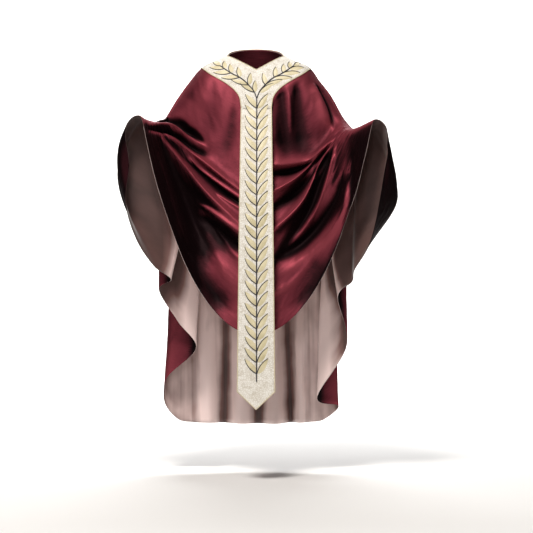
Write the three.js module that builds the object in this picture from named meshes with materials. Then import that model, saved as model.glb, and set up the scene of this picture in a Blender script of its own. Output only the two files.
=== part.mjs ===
// A gothic chasuble as it hangs on a wearer whose forearms are held out: a front and a back panel of
// silk taffeta, each with its lining, joined along a ridge over the shoulders and arms, a facing inside
// the back of the neck, and a brocade orphrey whose yoke lies round the neck and whose band hangs free.
// Millimetres. The origin is the middle of the neck at shoulder height, -Y is the wearer's front, +Z up.
import * as THREE from 'three';

// Walls of cloth, the gap between two pieces that lie on each other, and how far each panel stops short
// of the ridge that they share
const TAFFETA = 1.5;
const LINING = 1.0;
const FACING = 1.0;
const BROCADE = 1.3;
const GAP = 0.3;
const SEAM_SHIFT = 0.19;

// The orphrey: half widths of the band, the heights where it leaves the yoke, turns and ends
const BAND_HALF_TOP = 52;
const BAND_HALF_END = 63;
const BAND_TOP = -185;
const BAND_CORNER = -1150;
const BAND_TIP = -1210;
const FACING_DEPTH_ROWS = 3;

// Rows and columns of the cloth
const YOKE_ROWS = 4;
const CHEST_ROWS = 6;
const SWAG_ROWS = 24;
const SIDE_COLUMNS = 9;
const BAND_COLUMNS = 2;
const NECK_COLUMNS = 6;
const FALL_ROWS = 9;
const BAND_ROWS = 22;

// Level 0 is the neck edge and 1 the hem; the yoke ends near the first of these, the swags start at the
// second, and a string of cloth stops being a straight V at the third
const YOKE_LEVEL = 0.17;
const SWAG_LEVEL = 0.4;
const ROUND_LEVEL = 0.45;

const named = (columns, rows) =>
  rows.map((row) => Object.fromEntries(row.map((value, i) => [columns[i], value])));

// The ridge from the side of the neck over shoulder, elbow and forearm to the wrist
const RIDGE = named(
  ['level', 'leftX', 'leftY', 'leftZ', 'rightX', 'rightY', 'rightZ'],
  [
    [0.0, -100, 0, 2, 93, 0, 1],
    [0.09, -149, 3, -15, 142, 3, -17],
    [0.17, -191, 2, -37, 184, 2, -35],
    [0.25, -226, -5, -81, 212, -4, -76],
    [0.34, -267, -20, -142, 247, -14, -124],
    [0.44, -308, -50, -211, 291, -40, -203],
    [0.54, -331, -105, -228, 320, -90, -248],
    [0.65, -348, -160, -238, 337, -140, -259],
    [0.77, -364, -210, -236, 354, -190, -257],
    [0.88, -378, -255, -233, 377, -236, -247],
    [1.0, -391, -295, -227, 399, -280, -239],
  ],
);

// The middle of the front at each level, how a string of cloth falls towards it from either side (a
// large bend hangs straight first and turns late), how far the cloth sinks in between the forearm and
// the body, and how round it lies over the arm
const FRONT = named(
  ['level', 'y', 'z', 'leftBend', 'rightBend', 'hollow', 'round'],
  [
    [0.0, -75, -52, 1.0, 1.0, 0, 0],
    [0.09, -93, -104, 1.0, 1.0, 0, 6],
    [0.17, -108, -161, 1.0, 0.95, 0, 20],
    [0.25, -124, -238, 1.0, 0.85, 0, 32],
    [0.34, -138, -318, 1.0, 0.72, 4, 34],
    [0.44, -150, -400, 1.05, 0.66, 12, 30],
    [0.54, -162, -493, 1.1, 0.92, 26, 26],
    [0.65, -174, -602, 1.06, 1.12, 48, 22],
    [0.77, -184, -725, 0.96, 0.94, 62, 20],
    [0.88, -192, -843, 0.84, 0.8, 62, 17],
    [1.0, -200, -961, 0.77, 0.77, 50, 14],
  ],
);

// The swag folds, each a ridge that runs from the crook of one arm to the other under the band: its
// level, its height on either side, and its width above and below the crest
const SWAGS = named(
  ['level', 'left', 'right', 'above', 'below'],
  [
    [0.436, 18, 26, 0.035, 0.021],
    [0.53, 32, 32, 0.036, 0.026],
    [0.6, 12, 4, 0.024, 0.022],
    [0.665, 38, 34, 0.042, 0.03],
    [0.752, 16, 34, 0.036, 0.028],
    [0.835, 24, 36, 0.045, 0.032],
    [0.915, 16, 20, 0.035, 0.034],
  ],
);
const SWAG_FULL = 0.32;
const SWAG_AT_MIDDLE = 0.7;

// Soft upright folds between the yoke and the swags: place from the middle at the top and at the
// bottom, depth outward, half width, and the levels between which each one runs
const UPRIGHTS = named(
  ['topX', 'bottomX', 'depth', 'half', 'from', 'to'],
  [
    [88, 92, -13, 17, 0.2, 0.43],
    [128, 118, -6, 14, 0.2, 0.42],
    [210, 262, 8, 12, 0.2, 0.42],
    [190, 240, -8, 14, 0.22, 0.42],
    [-78, -84, -9, 20, 0.26, 0.44],
    [-150, -170, 5, 26, 0.22, 0.42],
  ],
);

// The back of the neck and of the yoke: depth and height in the middle, and how soon it is reached
const NAPE = named(
  ['level', 'y', 'z', 'rise'],
  [
    [0.0, 80, 38, 0.8],
    [0.09, 104, -6, 0.7],
    [0.19, 130, -50, 1.2],
  ],
);

// How the back falls from the ridge or yoke to its hem, station -1 at the left wrist and 1 at the right
// one: a row for each fold, with a point half way down and one on the hem. The hem runs in and out
// below the arms as a cascade, and in low round flutes across the back.
const BACK_FALLS = named(
  ['station', 'midX', 'midY', 'midZ', 'hemX', 'hemY', 'hemZ'],
  [
    [-1.0, -428, -292, -289, -423, -284, -395],
    [-0.94, -454, -264, -350, -437, -262, -521],
    [-0.88, -459, -228, -410, -404, -226, -640],
    [-0.82, -443, -185, -474, -348, -174, -730],
    [-0.76, -262, -135, -585, -294, -118, -776],
    [-0.71, -338, -100, -608, -337, -84, -811],
    [-0.65, -296, -48, -641, -274, -38, -922],
    [-0.59, -206, 0, -676, -214, 2, -1018],
    [-0.53, -290, 36, -693, -319, 46, -1126],
    [-0.47, -298, 74, -717, -326, 86, -1214],
    [-0.4, -272, 102, -717, -282, 124, -1275],
    [-0.32, -230, 120, -717, -231, 142, -1288],
    [-0.23, -178, 136, -700, -168, 128, -1290],
    [-0.13, -112, 168, -690, -116, 192, -1294],
    [-0.06, -62, 160, -690, -56, 156, -1296],
    [0.03, 4, 178, -690, 8, 204, -1298],
    [0.11, 66, 160, -690, 72, 152, -1296],
    [0.18, 112, 168, -700, 124, 196, -1293],
    [0.26, 160, 142, -710, 158, 132, -1290],
    [0.33, 190, 122, -717, 190, 148, -1288],
    [0.41, 236, 106, -717, 240, 132, -1278],
    [0.48, 276, 72, -717, 290, 92, -1226],
    [0.55, 232, 32, -717, 214, 42, -1190],
    [0.61, 313, -8, -711, 317, -14, -1006],
    [0.67, 262, -48, -641, 284, -56, -836],
    [0.72, 326, -88, -625, 330, -98, -784],
    [0.77, 352, -128, -557, 336, -146, -744],
    [0.83, 464, -178, -518, 374, -198, -678],
    [0.89, 474, -214, -478, 396, -238, -610],
    [0.945, 455, -254, -393, 414, -266, -512],
    [1.0, 432, -284, -288, 440, -278, -352],
  ],
);
const NECK_STATION = 0.32;
const ARM_ROUND = 26;

// The outer edge of the yoke at the front: height at each distance from the middle
const YOKE_EDGE = named(
  ['out', 'z'],
  [
    [52, -185],
    [56, -155],
    [70, -130],
    [93, -108],
    [125, -87],
    [161, -65],
    [191, -40],
  ],
);

// The depth at which the band hangs
const BAND_HANG = named(
  ['z', 'y'],
  [
    [-1210, -262],
    [-960, -256],
    [-840, -250],
    [-720, -243],
    [-600, -231],
    [-490, -214],
    [-400, -192],
    [-320, -168],
    [-240, -139],
    [-185, -115],
  ],
);

const WINE = { color: 0x6e2a35, roughness: 0.42, metalness: 0.0 };
const PINK = { color: 0xb08884, roughness: 0.6, metalness: 0.0 };
const IVORY = { color: 0xe8e0ce, roughness: 0.55, metalness: 0.05 };

// A smooth curve through one column of a table
function follow(rows, knot, column, at) {
  let i = 0;
  while (i < rows.length - 2 && at > rows[i + 1][knot]) {
    i += 1;
  }
  const slope = (k) => {
    const before = rows[Math.max(k - 1, 0)];
    const after = rows[Math.min(k + 1, rows.length - 1)];
    return (after[column] - before[column]) / (after[knot] - before[knot]);
  };
  const span = rows[i + 1][knot] - rows[i][knot];
  const t = Math.min(Math.max((at - rows[i][knot]) / span, 0), 1);
  const t2 = t * t;
  const t3 = t2 * t;
  return (
    rows[i][column] * (2 * t3 - 3 * t2 + 1) +
    rows[i + 1][column] * (3 * t2 - 2 * t3) +
    slope(i) * span * (t3 - 2 * t2 + t) +
    slope(i + 1) * span * (t3 - t2)
  );
}

const smooth = (from, to, at) => THREE.MathUtils.smoothstep(at, from, to);

// The place where a rising or falling function of one number crosses zero
function crossing(low, high, value) {
  const sign = Math.sign(value(low));
  for (let i = 0; i < 40; i += 1) {
    const middle = (low + high) / 2;
    if (Math.sign(value(middle)) === sign) {
      low = middle;
    } else {
      high = middle;
    }
  }
  return (low + high) / 2;
}

function ridgePoint(side, level) {
  const at = (axis) => follow(RIDGE, 'level', side + axis, level);
  return new THREE.Vector3(at('X'), at('Y'), at('Z'));
}

// The level direction square to the ridge, towards the front and the inside of the arm
function ridgeFront(side, level) {
  const step = 0.01;
  const along = ridgePoint(side, Math.min(level + step, 1)).sub(ridgePoint(side, Math.max(level - step, 0)));
  const turn = side === 'left' ? 1 : -1;
  return new THREE.Vector3(-along.y * turn, along.x * turn, 0).normalize();
}

// The front without its folds: u is -1 on the left ridge, 0 in the middle and 1 on the right ridge
function frontForm(u, level) {
  const side = u < 0 ? 'left' : 'right';
  const angle = (Math.PI / 2) * (1 - Math.abs(u));
  const inward = 1 - Math.cos(angle);
  const ridge = ridgePoint(side, level);
  const middle = (column) => follow(FRONT, 'level', column, level);
  const straight = Math.max(0, 1 - level / ROUND_LEVEL);
  const swung = Math.sin((Math.PI / 2) * inward ** middle(side + 'Bend'));
  const fall = (1 - straight) * swung + straight * inward;
  const drop = ridge.z - middle('z');
  const round = Math.max(middle('round'), 0.01);
  const over = Math.sqrt((drop * fall) ** 2 + round ** 2) - round;
  const whole = Math.sqrt(drop ** 2 + round ** 2) - round;
  const wrapped = 1 - smooth(0.2, 0.5, level);
  const depth = wrapped * Math.sin(angle) + (1 - wrapped) * Math.sin((Math.PI / 2) * inward);
  const out = round * (1 - Math.exp(-(drop * fall) / round)) * (1 - inward) ** 2;
  const hollow = middle('hollow') * Math.sin(Math.PI * inward ** 0.8) ** 2;
  return new THREE.Vector3(
    ridge.x * (1 - inward),
    ridge.y + (middle('y') - ridge.y) * depth + hollow,
    ridge.z - (drop * over) / whole,
  ).addScaledVector(ridgeFront(side, level), out);
}

const hill = (distance, half) => Math.exp(-((distance / half) ** 2));

// How far the folds lift the front off its plain form
function frontFolds(u, level, x) {
  const inward = 1 - Math.cos((Math.PI / 2) * (1 - Math.abs(u)));
  const side = u < 0 ? 'left' : 'right';
  const other = u < 0 ? 'right' : 'left';
  const reach = smooth(-0.03, SWAG_FULL, inward) * (1 - (1 - SWAG_AT_MIDDLE) * smooth(0.7, 1, inward));
  const shared = 0.5 * smooth(0.8, 1, inward);
  let lift = 0;
  for (const fold of SWAGS) {
    const height = fold[side] * (1 - shared) + fold[other] * shared;
    const half = level < fold.level ? fold.above : fold.below;
    lift += height * reach * hill(level - fold.level, half);
  }
  for (const fold of UPRIGHTS) {
    const down = (level - fold.from) / (fold.to - fold.from);
    const along = smooth(-0.2, 0.25, down) * (1 - smooth(0.75, 1.1, down));
    const place = fold.topX + (fold.bottomX - fold.topX) * down;
    lift += fold.depth * along * hill(x - place, fold.half);
  }
  return lift;
}

function frontPoint(u, level) {
  const step = 0.004;
  const form = frontForm(u, level);
  const high = Math.max(level - step, 0);
  const low = Math.min(level + step, 1);
  const inner = Math.min(Math.abs(u), 1 - step) * (u < 0 ? -1 : 1);
  const down = frontForm(inner, low).sub(frontForm(inner, high));
  const across = frontForm(inner + step, level).sub(frontForm(inner - step, level));
  const outward = down.cross(across).normalize();
  return form.addScaledVector(outward, frontFolds(u, level, form.x));
}

// The level at which a column of the front crosses the yoke's outer edge
function yokeLevel(u) {
  return crossing(0.05, 0.45, (level) => {
    const point = frontPoint(u, level);
    const out = Math.min(Math.abs(point.x), YOKE_EDGE.at(-1).out);
    return out < BAND_HALF_TOP ? point.z - BAND_TOP : point.z - follow(YOKE_EDGE, 'out', 'z', out);
  });
}

// The column on which the band's edge leaves the yoke
function bandColumn(sign) {
  const column = (level) =>
    crossing(0.02, 0.6, (u) => Math.abs(frontPoint(u * sign, level).x) - BAND_HALF_TOP);
  const level = crossing(0.12, 0.4, (at) => frontPoint(column(at) * sign, at).z - BAND_TOP);
  return { u: column(level) * sign, level };
}

const LEFT_BAND = bandColumn(-1);
const RIGHT_BAND = bandColumn(1);

// The columns of the front from the left ridge to the right one, each with the yoke's edge on it
function frontColumns() {
  const side = (edge) =>
    Array.from({ length: SIDE_COLUMNS }, (_, k) => {
      const outward = (1 - k / SIDE_COLUMNS) ** 1.6;
      const u = edge.u + (Math.sign(edge.u) - edge.u) * outward;
      return { u, yoke: yokeLevel(u) };
    });
  const middle = Array.from({ length: 2 * BAND_COLUMNS + 1 }, (_, k) => {
    const across = k / (2 * BAND_COLUMNS);
    return {
      u: LEFT_BAND.u + (RIGHT_BAND.u - LEFT_BAND.u) * across,
      yoke: LEFT_BAND.level + (RIGHT_BAND.level - LEFT_BAND.level) * across,
    };
  });
  return [...side(LEFT_BAND), ...middle, ...side(RIGHT_BAND).reverse()];
}

// The level of a row of the front on a column: the yoke's rows end on its edge, and the rows below it
// are level again where the swags start
function rowLevel(row, yoke) {
  if (row <= YOKE_ROWS) {
    return (yoke * row) / YOKE_ROWS;
  }
  const below = row - YOKE_ROWS;
  const plain =
    below <= CHEST_ROWS
      ? YOKE_LEVEL + ((SWAG_LEVEL - YOKE_LEVEL) * below) / CHEST_ROWS
      : SWAG_LEVEL + ((1 - SWAG_LEVEL) * (below - CHEST_ROWS)) / SWAG_ROWS;
  return plain + (yoke - YOKE_LEVEL) * (1 - smooth(YOKE_LEVEL, SWAG_LEVEL, plain));
}

const ROWS = YOKE_ROWS + CHEST_ROWS + SWAG_ROWS;
const COLUMNS = frontColumns();
const FRONT_GRID = Array.from({ length: ROWS + 1 }, (_, row) =>
  COLUMNS.map(({ u, yoke }) => frontPoint(u, rowLevel(row, yoke))),
);

// The back inside the yoke: across is 0 on the left ridge and 1 on the right one
function napePoint(across, level) {
  const angle = Math.PI * across;
  const side = across < 0.5 ? 'left' : 'right';
  const ridge = ridgePoint(side, level);
  const middle = (column) => follow(NAPE, 'level', column, level);
  const turn = Math.sin(angle);
  return new THREE.Vector3(
    ridge.x * Math.abs(Math.cos(angle)),
    ridge.y + (middle('y') - ridge.y) * turn,
    ridge.z + (middle('z') - ridge.z) * turn ** middle('rise'),
  );
}

const LEFT_YOKE = COLUMNS[0].yoke;
const RIGHT_YOKE = COLUMNS.at(-1).yoke;
const NAPE_GRID = Array.from({ length: YOKE_ROWS + 1 }, (_, row) =>
  Array.from({ length: 2 * NECK_COLUMNS + 1 }, (_, k) => {
    const across = k / (2 * NECK_COLUMNS);
    if (across === 0 || across === 1) {
      return FRONT_GRID[row][across === 0 ? 0 : COLUMNS.length - 1].clone();
    }
    const yoke = LEFT_YOKE + (RIGHT_YOKE - LEFT_YOKE) * across;
    return napePoint(across, (yoke * row) / YOKE_ROWS);
  }),
);

// A point of the back below its top: the cloth goes out over the arm, then down through the middle
// point to the hem
function fallPoint(top, station, down) {
  const at = (column) => follow(BACK_FALLS, 'station', column, station);
  const drop = top.z - at('hemZ');
  const fallen = drop * down;
  const path = (axis) => [
    { fall: 0, at: top[axis] },
    { fall: top.z - at('midZ'), at: at('mid' + axis.toUpperCase()) },
    { fall: drop, at: at('hem' + axis.toUpperCase()) },
  ];
  const plan = new THREE.Vector3(
    follow(path('x'), 'fall', 'at', fallen),
    follow(path('y'), 'fall', 'at', fallen),
    0,
  );
  const outward = new THREE.Vector3(Math.sign(station) * smooth(0.1, 0.6, Math.abs(station)), 0.5, 0);
  const over = ARM_ROUND * (1 - Math.exp(-fallen / ARM_ROUND)) * (1 - down) ** 2;
  const rounded = Math.sqrt(fallen ** 2 + ARM_ROUND ** 2) - ARM_ROUND;
  const whole = Math.sqrt(drop ** 2 + ARM_ROUND ** 2) - ARM_ROUND;
  return plan
    .addScaledVector(outward.normalize(), over)
    .setZ(top.z - (drop * rounded) / whole);
}

// The tops of the back's columns: the left ridge from the wrist in, the yoke's edge, the right ridge
function fallTops() {
  const ridge = (column, sign) =>
    Array.from({ length: ROWS - YOKE_ROWS }, (_, k) => {
      const row = ROWS - k;
      const level = rowLevel(row, COLUMNS[column].yoke);
      const along = (level - COLUMNS[column].yoke) / (1 - COLUMNS[column].yoke);
      return {
        top: FRONT_GRID[row][column].clone(),
        station: sign * (NECK_STATION + (1 - NECK_STATION) * along),
      };
    });
  const nape = NAPE_GRID[YOKE_ROWS].map((top, k) => ({
    top,
    station: NECK_STATION * (k / NECK_COLUMNS - 1),
  }));
  return [...ridge(0, -1), ...nape, ...ridge(COLUMNS.length - 1, 1).reverse()];
}

const FALL_GRID = Array.from({ length: FALL_ROWS + 1 }, (_, row) =>
  fallTops().map(({ top, station }) => (row === 0 ? top : fallPoint(top, station, row / FALL_ROWS))),
);

// A surface of squares that share points, with an outward direction at each point
class Patch {
  constructor() {
    this.points = [];
    this.ids = new Map();
    this.squares = [];
  }

  id(point) {
    if (!this.ids.has(point)) {
      this.ids.set(point, this.points.length);
      this.points.push(point);
    }
    return this.ids.get(point);
  }

  // Rows run down, and columns run left to right as the outside is looked at
  grid(rows, facesBack = false) {
    for (let i = 0; i + 1 < rows.length; i += 1) {
      for (let j = 0; j + 1 < rows[i].length; j += 1) {
        const square = [rows[i][j], rows[i + 1][j], rows[i + 1][j + 1], rows[i][j + 1]];
        this.squares.push((facesBack ? square.reverse() : square).map((point) => this.id(point)));
      }
    }
    return this;
  }

  finish() {
    this.outward = this.points.map(() => new THREE.Vector3());
    for (const [a, b, c, d] of this.squares) {
      const p = this.points;
      const face = p[c].clone().sub(p[a]).cross(p[d].clone().sub(p[b]));
      for (const id of [a, b, c, d]) {
        this.outward[id].add(face);
      }
    }
    this.outward.forEach((direction) => direction.normalize());
    return this;
  }
}

// A closed wall over a patch, from one distance outside its points to another
function wall(patch, outer, inner) {
  const count = patch.points.length;
  const positions = [];
  for (const distance of [outer, inner]) {
    patch.points.forEach((point, id) => {
      positions.push(...point.clone().addScaledVector(patch.outward[id], distance).toArray());
    });
  }
  const faces = [];
  const edges = new Map();
  for (const [a, b, c, d] of patch.squares) {
    faces.push([a, b, c], [a, c, d]);
    faces.push([count + a, count + c, count + b], [count + a, count + d, count + c]);
    for (const [from, to] of [[a, b], [b, c], [c, d], [d, a]]) {
      if (edges.has(`${to},${from}`)) {
        edges.delete(`${to},${from}`);
      } else {
        edges.set(`${from},${to}`, [from, to]);
      }
    }
  }
  for (const [from, to] of edges.values()) {
    faces.push([from, count + from, to], [to, count + from, count + to]);
  }
  const geometry = new THREE.BufferGeometry();
  geometry.setAttribute('position', new THREE.Float32BufferAttribute(positions, 3));
  geometry.setIndex(faces.flat());
  geometry.computeVertexNormals();
  return geometry;
}

// The yoke goes all round the neck, and the band hangs from its front
function orphreyPatch() {
  const ring = FRONT_GRID.slice(0, YOKE_ROWS + 1).map((row, i) => [
    ...row,
    ...NAPE_GRID[i].slice(1, -1).reverse(),
    row[0],
  ]);
  const first = SIDE_COLUMNS;
  const top = FRONT_GRID[YOKE_ROWS].slice(first, first + 2 * BAND_COLUMNS + 1);
  const band = [top];
  for (let row = 1; row <= BAND_ROWS; row += 1) {
    const down = row / BAND_ROWS;
    band.push(
      top.map((_, k) => {
        const across = k / BAND_COLUMNS - 1;
        const end = BAND_TIP + (BAND_CORNER - BAND_TIP) * Math.abs(across);
        const z = BAND_TOP + (end - BAND_TOP) * down;
        const half = BAND_HALF_TOP + (BAND_HALF_END - BAND_HALF_TOP) * down;
        return new THREE.Vector3(across * half, follow(BAND_HANG, 'z', 'y', z), z);
      }),
    );
  }
  return new Patch().grid(ring).grid(band).finish();
}

// The two panels share the outward direction along the ridge, and part there by the seam's gap
function seam(front, back, frontGrid, backGrid) {
  const pull = (point, beside) => {
    point.addScaledVector(beside.clone().sub(point).normalize(), SEAM_SHIFT);
  };
  const share = (frontPointOnRidge, backPointOnRidge) => {
    const a = front.outward[front.id(frontPointOnRidge)];
    const b = back.outward[back.id(backPointOnRidge)];
    const both = a.clone().add(b).normalize();
    a.copy(both);
    b.copy(both);
  };
  frontGrid.forEach((row, i) => {
    for (const [column, inside] of [[0, 1], [row.length - 1, row.length - 2]]) {
      const partner = backGrid(i, column === 0);
      share(row[column], partner.point);
      pull(row[column], row[inside]);
      pull(partner.point, partner.beside);
    }
  });
}

// The point of the back that meets a row of the front on the ridge, and the one next to it
function backPartner(row, left) {
  if (row <= YOKE_ROWS) {
    const nape = NAPE_GRID[row];
    return left
      ? { point: nape[0], beside: nape[1] }
      : { point: nape.at(-1), beside: nape.at(-2) };
  }
  const column = left ? ROWS - row : FALL_GRID[0].length - 1 - (ROWS - row);
  return { point: FALL_GRID[0][column], beside: FALL_GRID[1][column] };
}

const orphrey = orphreyPatch();
const orphreyWall = wall(orphrey, GAP + BROCADE, GAP);
const frontPatch = new Patch().grid(FRONT_GRID).finish();
const backPatch = new Patch().grid(NAPE_GRID, true).grid(FALL_GRID, true).finish();
seam(frontPatch, backPatch, FRONT_GRID, backPartner);
const facingPatch = new Patch().grid(NAPE_GRID.slice(0, FACING_DEPTH_ROWS + 1), true).finish();

function piece(name, geometry, finish) {
  const mesh = new THREE.Mesh(geometry, new THREE.MeshStandardMaterial(finish));
  mesh.name = name;
  return mesh;
}

const liningOuter = -(TAFFETA + GAP);
const facingOuter = liningOuter - LINING - GAP;
const chasuble = new THREE.Group();
chasuble.add(
  piece('front_panel', wall(frontPatch, 0, -TAFFETA), WINE),
  piece('back_panel', wall(backPatch, 0, -TAFFETA), WINE),
  piece('front_lining', wall(frontPatch, liningOuter, liningOuter - LINING), PINK),
  piece('back_lining', wall(backPatch, liningOuter, liningOuter - LINING), PINK),
  piece('y_orphrey', orphreyWall, IVORY),
  piece('back_neck_facing', wall(facingPatch, facingOuter, facingOuter - FACING), WINE),
);

export default chasuble;
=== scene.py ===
import math

import bpy
import numpy as np
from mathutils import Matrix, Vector, noise
from mathutils.bvhtree import BVHTree


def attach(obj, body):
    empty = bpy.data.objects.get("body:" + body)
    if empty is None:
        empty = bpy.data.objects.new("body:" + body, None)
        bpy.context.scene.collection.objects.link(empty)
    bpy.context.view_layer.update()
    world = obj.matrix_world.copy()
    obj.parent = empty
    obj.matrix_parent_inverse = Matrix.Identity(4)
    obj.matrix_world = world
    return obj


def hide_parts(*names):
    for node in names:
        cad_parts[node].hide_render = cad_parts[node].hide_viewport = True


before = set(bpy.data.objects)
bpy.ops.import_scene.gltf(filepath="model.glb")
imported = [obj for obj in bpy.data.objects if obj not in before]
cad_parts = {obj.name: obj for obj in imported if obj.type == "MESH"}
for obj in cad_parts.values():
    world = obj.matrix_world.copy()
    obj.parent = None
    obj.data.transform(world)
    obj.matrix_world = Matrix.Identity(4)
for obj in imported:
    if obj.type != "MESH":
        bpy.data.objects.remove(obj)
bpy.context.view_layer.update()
MM = 0.001

# The camera stands level with the middle of the garment, six metres in front of it, so that one pixel
# of the 533 pixel frame is 3.5 mm at the depth of the neck.
FRAME_PX = 533
MM_PER_PX = 3.5
CAMERA_DISTANCE = 6.0
CAMERA_HEIGHT = -0.731
CAMERA_SIDE = 0.035
CAMERA_REACH = 40
SENSOR = 36.0

bpy.ops.object.select_all(action="DESELECT")
bpy.ops.object.camera_add(
    location=(CAMERA_SIDE, -CAMERA_DISTANCE, CAMERA_HEIGHT), rotation=(math.pi / 2, 0, 0)
)
camera = bpy.context.object
camera.name = "camera"
camera.data.sensor_width = SENSOR
camera.data.lens = SENSOR * CAMERA_DISTANCE / (FRAME_PX * MM_PER_PX * MM)
camera.data.clip_end = CAMERA_REACH
bpy.context.scene.camera = camera


# The studio: a pale floor that bends up into a wall far behind, which has a light of its own. One soft
# light high in front on the left, a weak one in front and a dim room leave the folds their dark
# troughs.
def srgb(code):
    """The linear colour of an sRGB hex value such as 8B3A45."""
    parts = [int(code[i : i + 2], 16) / 255 for i in (0, 2, 4)]
    return tuple(p / 12.92 if p <= 0.04045 else ((p + 0.055) / 1.055) ** 2.4 for p in parts) + (1.0,)


def new_material(name, settings):
    """A material, its nodes and its shader, with the shader's inputs set."""
    material = bpy.data.materials.new(name)
    material.use_nodes = True
    shader = next(n for n in material.node_tree.nodes if n.type == "BSDF_PRINCIPLED")
    for socket, value in settings.items():
        shader.inputs[socket].default_value = value
    return material, material.node_tree, shader


FLOOR_Z = -1.46
FLOOR_START = -1.9
FLOOR_HALF = 2.3
WALL_Y = 7.0
WALL_TOP = 1.7
COVE = 1.2
COVE_STEPS = 16
ROOM_LIGHT = 0.05

bpy.ops.object.select_all(action="DESELECT")
bpy.ops.mesh.primitive_plane_add(size=1, location=(0, 0, 0))
backdrop = bpy.context.object
backdrop.name = "backdrop"
cove = [(FLOOR_START, FLOOR_Z)]
for step in range(COVE_STEPS + 1):
    turn = math.pi / 2 * step / COVE_STEPS
    cove.append((WALL_Y - COVE + COVE * math.sin(turn), FLOOR_Z + COVE - COVE * math.cos(turn)))
cove.append((WALL_Y, WALL_TOP))
studio = bpy.data.meshes.new("backdrop")
studio.from_pydata(
    [(x, y, z) for y, z in cove for x in (-FLOOR_HALF, FLOOR_HALF)],
    [],
    [(2 * i, 2 * i + 1, 2 * i + 3, 2 * i + 2) for i in range(len(cove) - 1)],
)
backdrop.data = studio
studio.shade_smooth()
paper = new_material("matt studio paper", {"Base Color": srgb("F4F3F1"), "Roughness": 0.95})[0]
studio.materials.append(paper)


def area_light(name, place, aim, size, power, colour):
    data = bpy.data.lights.new(name, "AREA")
    data.shape = "RECTANGLE"
    data.size, data.size_y = size
    data.energy = power
    data.color = srgb(colour)[:3]
    lamp = bpy.data.objects.new(name, data)
    bpy.context.collection.objects.link(lamp)
    lamp.location = place
    lamp.rotation_euler = (Vector(aim) - Vector(place)).to_track_quat("-Z", "Y").to_euler()


area_light("key", (-0.7, -3.0, 3.1), (0, 0, -0.6), (0.9, 0.9), 225, "FFFAF5")
area_light("front", (-0.6, -5.2, 0.3), (0, 0, -0.7), (1.0, 1.0), 45, "FFFFFF")
area_light("wall", (0, 3.4, 3.2), (0, 6.2, -1.0), (4.0, 2.5), 620, "FFFFFF")
world = bpy.data.worlds.new("studio")
world.use_nodes = True
room = world.node_tree.nodes["Background"]
room.inputs["Color"].default_value = srgb("FFFFFF")
room.inputs["Strength"].default_value = ROOM_LIGHT
bpy.context.scene.world = world
bpy.context.scene.view_settings.view_transform = "Standard"


# The front: one panel of wine silk taffeta, cut with its hem in one long curve and sewn to the back
# along the ridge of shoulders and raised sides. Held up at both sides it hangs as a swag, in folds
# that run from the crook of one side to that of the other.
def named(columns, rows):
    return {name: np.array(values, float) for name, values in zip(columns.split(), zip(*rows))}


RIDGE = named(
    "level left_x left_y left_z right_x right_y right_z",
    [
        (0.0, -100, 0, 2, 93, 0, 1),
        (0.09, -149, 3, -15, 142, 3, -17),
        (0.17, -191, 2, -37, 184, 2, -35),
        (0.25, -226, -5, -81, 212, -4, -76),
        (0.34, -267, -20, -142, 247, -14, -124),
        (0.44, -308, -50, -211, 291, -40, -203),
        (0.54, -331, -105, -228, 320, -90, -248),
        (0.65, -348, -160, -238, 337, -140, -259),
        (0.77, -364, -210, -236, 354, -190, -257),
        (0.88, -378, -255, -233, 377, -236, -247),
        (1.0, -391, -295, -227, 399, -280, -239),
    ],
)
FRONT = named(
    "level y z left_bend right_bend hollow round",
    [
        (0.0, -75, -52, 1.0, 1.0, 0, 0),
        (0.09, -93, -104, 1.0, 1.0, 0, 6),
        (0.17, -108, -161, 1.0, 0.95, 0, 20),
        (0.25, -124, -238, 1.0, 0.85, 0, 32),
        (0.34, -138, -318, 1.0, 0.72, 4, 34),
        (0.44, -150, -400, 1.05, 0.66, 12, 30),
        (0.54, -162, -493, 1.1, 0.92, 26, 26),
        (0.65, -174, -602, 1.06, 1.12, 48, 22),
        (0.77, -184, -725, 0.96, 0.94, 62, 20),
        (0.88, -192, -843, 0.84, 0.8, 62, 17),
        (1.0, -200, -961, 0.77, 0.77, 50, 14),
    ],
)
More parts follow.
